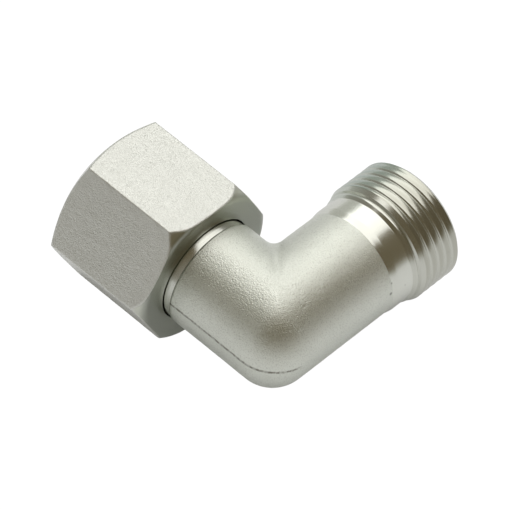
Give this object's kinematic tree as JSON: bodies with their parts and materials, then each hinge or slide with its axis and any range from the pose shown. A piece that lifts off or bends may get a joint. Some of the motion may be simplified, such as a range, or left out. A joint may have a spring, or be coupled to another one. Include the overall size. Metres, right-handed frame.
{
  "type": "elbow adapter",
  "caption": "Right-angle steel tube adapter with a captive hexagonal swivel nut over a sealed taper at one end and a male thread with a tube socket at the other.",
  "frame": {"origin": "where the centre lines of the two legs cross", "axes": "-X along the nut leg towards its mouth, +Y along the threaded leg towards its face, +Z square to both"},
  "size_m": [0.0442, 0.0438, 0.0242],
  "materials": {
    "zinc_forging": "zinc plated, blasted forging with machined ends",
    "zinc_nut": "zinc plated, finely blasted flats with turned ends",
    "seal_rubber": "satin black"
  },
  "bodies": {
    "elbow": {"elbow_body": "zinc_forging", "o_ring": "seal_rubber"},
    "nut": {"swivel_nut": "zinc_nut"}
  },
  "joints": [
    {"name": "nut_swivel", "type": "hinge", "parent": "elbow", "child": "nut", "pos_m": [0, 0, 0], "axis": [-1, 0, 0], "continuous": true}
  ]
}
